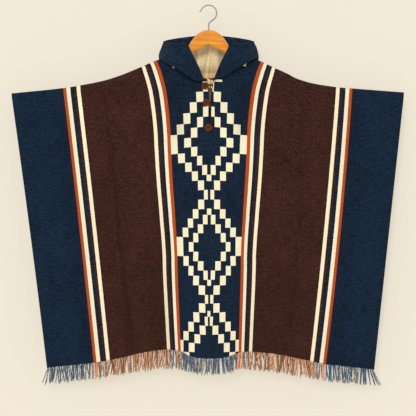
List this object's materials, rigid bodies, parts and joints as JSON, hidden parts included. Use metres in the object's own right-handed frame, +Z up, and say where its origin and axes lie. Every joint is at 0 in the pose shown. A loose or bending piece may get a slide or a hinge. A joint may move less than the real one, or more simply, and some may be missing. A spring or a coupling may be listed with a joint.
{
  "type": "hooded poncho on a wooden hanger",
  "caption": "Open-sided woven poncho with a lined hood, a buttoned neck slit and fringed hems, hanging folded over a flat wooden hanger with a wire hook.",
  "frame": {"origin": "inside top of the wire hook, where it rests on a rod", "axes": "+Z up, +X along the shoulders, -Y the side that the front half and the slit face"},
  "size_m": [1.1762, 0.139, 1.136],
  "materials": {
    "navy_wool": "woven wool",
    "cream_lining": "plain woven cotton",
    "fringe_yarn": "loose wool yarn",
    "button_wood": "satin",
    "loop_cord": "twisted cord",
    "hanger_wood": "clear varnish",
    "hook_steel": "plated wire"
  },
  "bodies": {
    "root": {"poncho_front": "navy_wool", "poncho_back": "navy_wool", "fringe_front": "fringe_yarn", "fringe_back": "fringe_yarn", "hood_left": "navy_wool", "hood_right": "navy_wool", "lining_left": "cream_lining", "lining_right": "cream_lining", "slit_underlap": "cream_lining", "button_1": "button_wood", "button_2": "button_wood", "button_3": "button_wood", "button_loop_1": "loop_cord", "button_loop_2": "loop_cord", "button_loop_3": "loop_cord", "hanger_wood": "hanger_wood", "hanger_hook": "hook_steel"}
  },
  "joints": []
}
